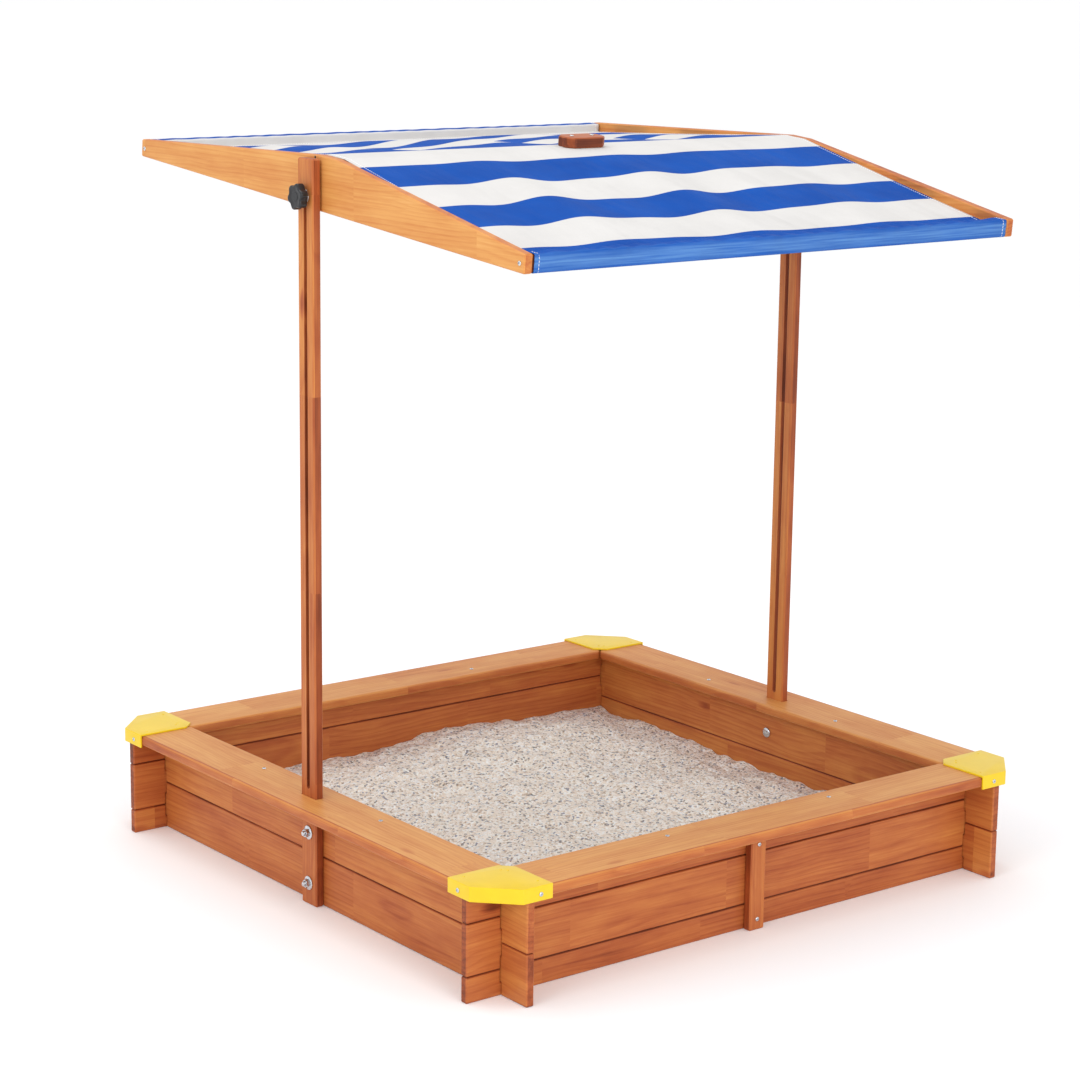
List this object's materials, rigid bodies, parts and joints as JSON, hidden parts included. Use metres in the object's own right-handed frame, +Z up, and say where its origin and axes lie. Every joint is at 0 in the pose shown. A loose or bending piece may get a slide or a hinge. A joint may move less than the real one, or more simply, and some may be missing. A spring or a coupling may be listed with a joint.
{
  "type": "sandbox with canopy",
  "caption": "Square wooden sandbox with bench boards, corner caps and sand, under a striped canopy on slotted posts that slides down and tilts.",
  "frame": {"origin": "on the ground, under the middle of the box", "axes": "+Z up; X along the canopy's ridge, from the left post to the right post; Y from the front, which the picture shows nearer, to the back"},
  "size_m": [1.1866, 1.1866, 1.2892],
  "materials": {
    "stained_fir": "satin",
    "yellow_plastic": "satin",
    "black_plastic": "satin",
    "zinc_plated_steel": "satin",
    "striped_polyester": "matte",
    "liner_fabric": "matte",
    "play_sand": "matte"
  },
  "bodies": {
    "sandbox": {"front_wall_bottom_board": "stained_fir", "front_wall_middle_board": "stained_fir", "front_wall_top_board": "stained_fir", "back_wall_bottom_board": "stained_fir", "back_wall_middle_board": "stained_fir", "back_wall_top_board": "stained_fir", "left_wall_lower_board": "stained_fir", "left_wall_upper_board": "stained_fir", "right_wall_lower_board": "stained_fir", "right_wall_upper_board": "stained_fir", "front_seat_board": "stained_fir", "right_seat_board": "stained_fir", "back_seat_board": "stained_fir", "left_seat_board": "stained_fir", "front_left_corner_cap": "yellow_plastic", "front_right_corner_cap": "yellow_plastic", "back_right_corner_cap": "yellow_plastic", "back_left_corner_cap": "yellow_plastic", "left_post": "stained_fir", "right_post": "stained_fir", "front_batten": "stained_fir", "back_batten": "stained_fir", "front_batten_bottom_screw": "zinc_plated_steel", "front_batten_top_screw": "zinc_plated_steel", "back_batten_bottom_screw": "zinc_plated_steel", "back_batten_top_screw": "zinc_plated_steel", "left_post_lower_bolt": "zinc_plated_steel", "left_post_lower_washer": "zinc_plated_steel", "left_post_lower_nut": "zinc_plated_steel", "left_post_upper_bolt": "zinc_plated_steel", "left_post_upper_washer": "zinc_plated_steel", "left_post_upper_nut": "zinc_plated_steel", "right_post_lower_bolt": "zinc_plated_steel", "right_post_lower_washer": "zinc_plated_steel", "right_post_lower_nut": "zinc_plated_steel", "right_post_upper_bolt": "zinc_plated_steel", "right_post_upper_washer": "zinc_plated_steel", "right_post_upper_nut": "zinc_plated_steel", "ground_liner": "liner_fabric", "sand_filling": "play_sand"},
    "height_slider": {"left_pivot_bolt": "zinc_plated_steel", "left_pivot_spacer": "zinc_plated_steel", "left_knob_washer": "zinc_plated_steel", "right_pivot_bolt": "zinc_plated_steel", "right_pivot_spacer": "zinc_plated_steel", "right_knob_washer": "zinc_plated_steel"},
    "canopy": {"left_gable_board": "stained_fir", "right_gable_board": "stained_fir", "front_canopy_rail": "stained_fir", "back_canopy_rail": "stained_fir", "ridge_rail": "stained_fir", "canopy_fabric": "striped_polyester", "ridge_block": "stained_fir", "left_gable_front_screw": "zinc_plated_steel", "left_gable_back_screw": "zinc_plated_steel", "right_gable_front_screw": "zinc_plated_steel", "right_gable_back_screw": "zinc_plated_steel"},
    "left_knob": {"left_clamp_knob": "black_plastic"},
    "right_knob": {"right_clamp_knob": "black_plastic"}
  },
  "joints": [
    {"name": "height_slide", "type": "slide", "parent": "sandbox", "child": "height_slider", "axis": [0, 0, 1], "range_m": [-0.79, 0]},
    {"name": "canopy_tilt", "type": "hinge", "parent": "height_slider", "child": "canopy", "pos_m": [0, 0, 1.205], "axis": [1, 0, 0], "range_deg": [-25, 15]},
    {"name": "left_knob_turn", "type": "hinge", "parent": "height_slider", "child": "left_knob", "pos_m": [-0.55, 0, 1.205], "axis": [1, 0, 0], "continuous": true},
    {"name": "right_knob_turn", "type": "hinge", "parent": "height_slider", "child": "right_knob", "pos_m": [0.55, 0, 1.205], "axis": [1, 0, 0], "continuous": true}
  ]
}
